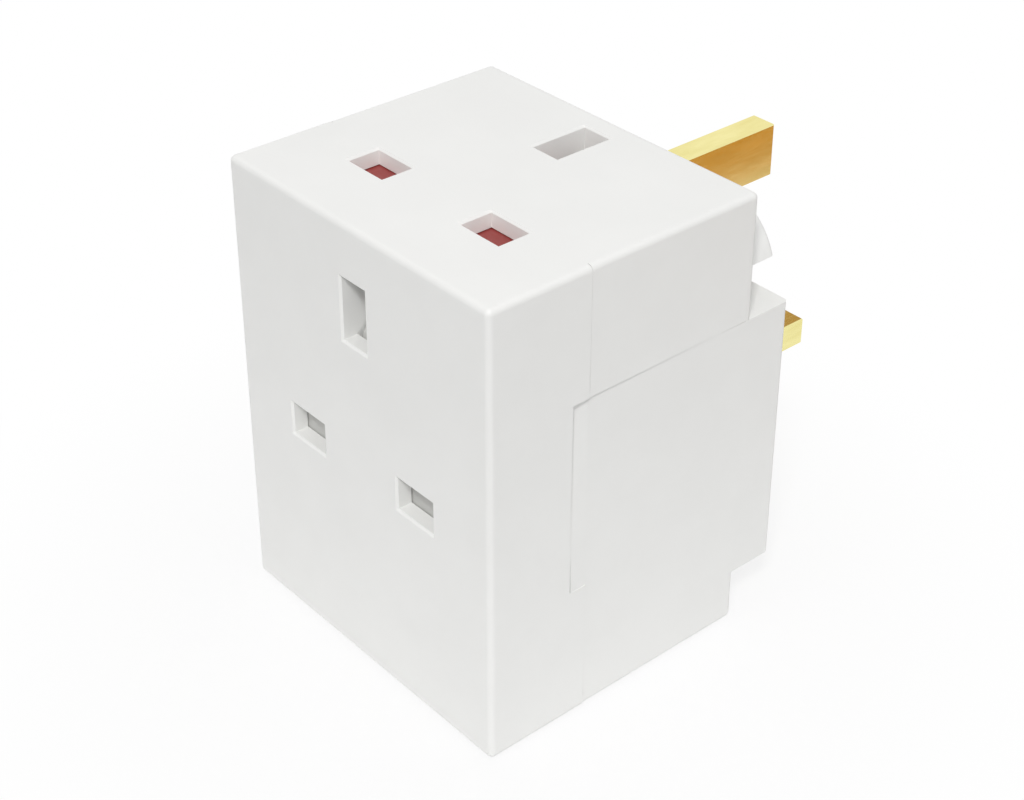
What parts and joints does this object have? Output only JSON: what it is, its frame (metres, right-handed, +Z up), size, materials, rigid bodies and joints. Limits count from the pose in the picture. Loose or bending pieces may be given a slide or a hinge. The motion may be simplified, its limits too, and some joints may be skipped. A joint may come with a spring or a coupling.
{
  "type": "multi socket adapter",
  "caption": "White plug-in socket adaptor: rectangular case with shuttered pin sockets on front, top and underside, and a fused plug with brass pins behind.",
  "frame": {"origin": "centre of the underside of the case, without the plug base and pins", "axes": "+Z up towards the top socket, +Y out of the plug face along the pins, the front socket faces -Y, and line is on the +X side"},
  "size_m": [0.051, 0.0731, 0.066],
  "materials": {
    "white_plastic": "satin",
    "grey_plastic": "satin",
    "black_plastic": "satin",
    "pale_shutter": "satin",
    "red_shutter": "satin",
    "pin_brass": "polished",
    "strip_brass": "rolled",
    "fuse_ceramic": "unglazed",
    "plated_steel": "nickel plated",
    "spring_steel": "drawn wire"
  },
  "bodies": {
    "case": {"front_cover": "white_plastic", "rear_housing": "white_plastic", "plug_base": "white_plastic", "earth_pin": "pin_brass", "line_pin": "pin_brass", "neutral_pin": "pin_brass", "line_pin_sleeve": "black_plastic", "neutral_pin_sleeve": "black_plastic", "fuse_carrier": "grey_plastic", "case_screws": "plated_steel", "line_strip": "strip_brass", "neutral_strip": "strip_brass", "earth_strip": "strip_brass", "line_pin_clip": "strip_brass", "fuse_barrel": "fuse_ceramic", "fuse_end_caps": "plated_steel", "front_shutter_guide": "white_plastic", "top_shutter_guide": "white_plastic", "bottom_shutter_guide": "white_plastic", "front_shutter_spring": "spring_steel", "top_shutter_spring": "spring_steel", "bottom_shutter_spring": "spring_steel"},
    "front_shutter": {"front_shutter": "pale_shutter"},
    "top_shutter": {"top_shutter": "red_shutter"},
    "bottom_shutter": {"bottom_shutter": "red_shutter"}
  },
  "joints": [
    {"name": "front_shutter_slide", "type": "slide", "parent": "case", "child": "front_shutter", "axis": [0, 0, -1], "range_m": [0, 0.0055], "stiffness_N_per_m": 60, "springref_m": -0.004, "deforming": ["front_shutter_spring"]},
    {"name": "top_shutter_slide", "type": "slide", "parent": "case", "child": "top_shutter", "axis": [0, -1, 0], "range_m": [0, 0.0055], "stiffness_N_per_m": 60, "springref_m": -0.004, "deforming": ["top_shutter_spring"]},
    {"name": "bottom_shutter_slide", "type": "slide", "parent": "case", "child": "bottom_shutter", "axis": [0, 1, 0], "range_m": [0, 0.0055], "stiffness_N_per_m": 60, "springref_m": -0.004, "deforming": ["bottom_shutter_spring"]}
  ]
}
